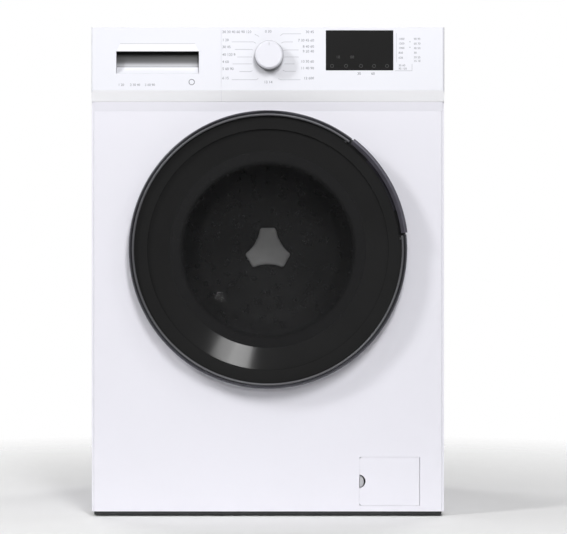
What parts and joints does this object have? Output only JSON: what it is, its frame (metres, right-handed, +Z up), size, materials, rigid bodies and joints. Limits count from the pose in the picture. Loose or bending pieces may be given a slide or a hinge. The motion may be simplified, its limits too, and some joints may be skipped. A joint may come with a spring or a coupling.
{
  "type": "washer dryer",
  "caption": "free-standing front-loading washer dryer with a round glass door, a dispenser drawer, a programme knob, a touch display and a sprung tub with a spinning drum",
  "frame": {"origin": "on the floor under the middle of the bounding box", "axes": "+X right seen from the front, -Y the front, +Z up"},
  "size_m": [0.597, 0.578, 0.833],
  "materials": {
    "white_steel": "smooth white enamel",
    "white_moulding": "white, satin gloss",
    "white_board": "white laminate",
    "galvanised_steel": "zinc coated",
    "black_moulding": "black, fine grain",
    "black_gloss": "black, high gloss",
    "smoked_window": "dark smoked, high gloss",
    "clear_glass": "clear",
    "display_black": "black touch glass",
    "bright_metal": "bright plated",
    "dark_metal": "dark plated",
    "stainless_steel": "polished stainless",
    "steel": "plain steel",
    "cast_aluminium": "as cast",
    "grey_moulding": "light grey polypropylene",
    "blue_moulding": "blue",
    "dark_grey_moulding": "dark grey",
    "grey_rubber": "grey, soft",
    "black_rubber": "black",
    "weight_iron": "grey, coarse"
  },
  "bodies": {
    "cabinet": {"cabinet_wrap": "white_steel", "worktop": "white_board", "front_panel": "white_steel", "back_panel": "galvanised_steel", "base_tray": "black_moulding", "crossbars": "galvanised_steel", "cabinet_screws": "galvanised_steel", "transit_plugs": "black_moulding", "fascia": "white_moulding", "display_glass": "display_black", "control_module": "black_moulding", "dispenser_housing": "grey_moulding", "hinge_bracket": "galvanised_steel", "door_lock": "black_moulding", "door_gasket": "grey_rubber", "suspension_springs": "steel", "damper_cylinders": "grey_moulding", "drain_pump": "grey_moulding", "water_hoses": "black_rubber", "inlet_valve": "dark_grey_moulding", "rear_outlets": "black_moulding"},
    "door": {"door_trim_ring": "bright_metal", "door_cone": "black_gloss", "door_window": "smoked_window", "door_bowl": "clear_glass", "door_inner_frame": "black_moulding", "hinge_arm": "galvanised_steel", "handle_spring": "steel"},
    "handle": {"door_handle": "dark_metal"},
    "latch": {"latch_hook": "black_moulding"},
    "drawer": {"drawer_front": "white_moulding", "drawer_tray": "grey_moulding", "softener_siphon": "blue_moulding"},
    "knob": {"programme_knob": "white_moulding"},
    "flap": {"filter_flap": "white_moulding"},
    "filter_collar": {"filter_seal": "black_rubber"},
    "filter": {"pump_filter": "dark_grey_moulding"},
    "tub": {"tub_front": "grey_moulding", "tub_rear": "grey_moulding", "counterweights": "weight_iron", "motor_body": "cast_aluminium", "drum_bearings": "steel", "wash_heater": "stainless_steel", "damper_rods": "steel", "drive_belt": "black_rubber", "drying_duct": "grey_moulding", "fan_motor": "black_moulding", "dryer_heater": "stainless_steel"},
    "drum": {"drum_shell": "stainless_steel", "drum_lifters": "grey_moulding", "drum_spider": "cast_aluminium", "drum_shaft": "steel", "drum_pulley": "cast_aluminium"},
    "motor_rotor": {"motor_pulley": "steel"},
    "fan": {"fan_wheel": "grey_moulding"},
    "impeller": {"pump_impeller": "grey_moulding"},
    "foot_front_left": {"foot_front_left": "black_rubber"},
    "foot_front_right": {"foot_front_right": "black_rubber"},
    "foot_rear_left": {"foot_rear_left": "black_rubber"},
    "foot_rear_right": {"foot_rear_right": "black_rubber"}
  },
  "joints": [
    {"name": "door_swing", "type": "hinge", "parent": "cabinet", "child": "door", "pos_m": [-0.222, -0.267, 0.4575], "axis": [0, 0, -1], "range_deg": [0, 120]},
    {"name": "handle_pull", "type": "hinge", "parent": "door", "child": "handle", "pos_m": [0.18277, -0.265, 0.56091], "axis": [0.4924, 0, -0.8704], "range_deg": [0, 8.5], "stiffness_Nm_per_rad": 0.6, "springref_deg": -14.32},
    {"name": "latch_swing", "type": "hinge", "parent": "door", "child": "latch", "pos_m": [0.17059, -0.259, 0.55402], "axis": [0.4924, 0, -0.8704], "range_deg": [0, 18]},
    {"name": "drawer_slide", "type": "slide", "parent": "cabinet", "child": "drawer", "axis": [0, -1, 0], "range_m": [0, 0.17]},
    {"name": "knob_turn", "type": "hinge", "parent": "cabinet", "child": "knob", "pos_m": [0.002, -0.259, 0.785], "axis": [0, 1, 0], "continuous": true},
    {"name": "flap_swing", "type": "hinge", "parent": "cabinet", "child": "flap", "pos_m": [0.2553, -0.2473, 0.06485], "axis": [0, 0, 1], "range_deg": [0, 95]},
    {"name": "filter_travel", "type": "slide", "parent": "cabinet", "child": "filter_collar", "axis": [0, -1, 0], "range_m": [0, 0.01]},
    {"name": "filter_turn", "type": "hinge", "parent": "filter_collar", "child": "filter", "pos_m": [0.20625, -0.229, 0.06485], "axis": [0, 1, 0], "range_deg": [0, 730]},
    {"name": "tub_bounce", "type": "slide", "parent": "cabinet", "child": "tub", "axis": [0, 0, 1], "range_m": [-0.008, 0.008], "stiffness_N_per_m": 30000, "springref_m": 0.00938, "deforming": ["suspension_springs", "door_gasket", "water_hoses"]},
    {"name": "drum_spin", "type": "hinge", "parent": "tub", "child": "drum", "pos_m": [0, 0, 0.4575], "axis": [0, 1, 0], "continuous": true},
    {"name": "motor_spin", "type": "hinge", "parent": "tub", "child": "motor_rotor", "pos_m": [0, 0.2, 0.1155], "axis": [0, 1, 0], "continuous": true},
    {"name": "fan_spin", "type": "hinge", "parent": "tub", "child": "fan", "pos_m": [0.21, -0.059, 0.76], "axis": [0, 0, 1], "continuous": true},
    {"name": "impeller_spin", "type": "hinge", "parent": "cabinet", "child": "impeller", "pos_m": [0.20625, -0.139, 0.06485], "axis": [0, 1, 0], "continuous": true},
    {"name": "foot_screw_front_left", "type": "slide", "parent": "cabinet", "child": "foot_front_left", "axis": [0, 0, -1], "range_m": [0, 0.015]},
    {"name": "foot_screw_front_right", "type": "slide", "parent": "cabinet", "child": "foot_front_right", "axis": [0, 0, -1], "range_m": [0, 0.015]},
    {"name": "foot_screw_rear_left", "type": "slide", "parent": "cabinet", "child": "foot_rear_left", "axis": [0, 0, -1], "range_m": [0, 0.015]},
    {"name": "foot_screw_rear_right", "type": "slide", "parent": "cabinet", "child": "foot_rear_right", "axis": [0, 0, -1], "range_m": [0, 0.015]}
  ],
  "couplings": [
    {"joint": "latch_swing", "follows": "handle_pull", "ratio": 2.06},
    {"joint": "motor_spin", "follows": "drum_spin", "ratio": 15},
    {"joint": "filter_turn", "follows": "filter_travel", "rad_per_m": 1256.6}
  ]
}
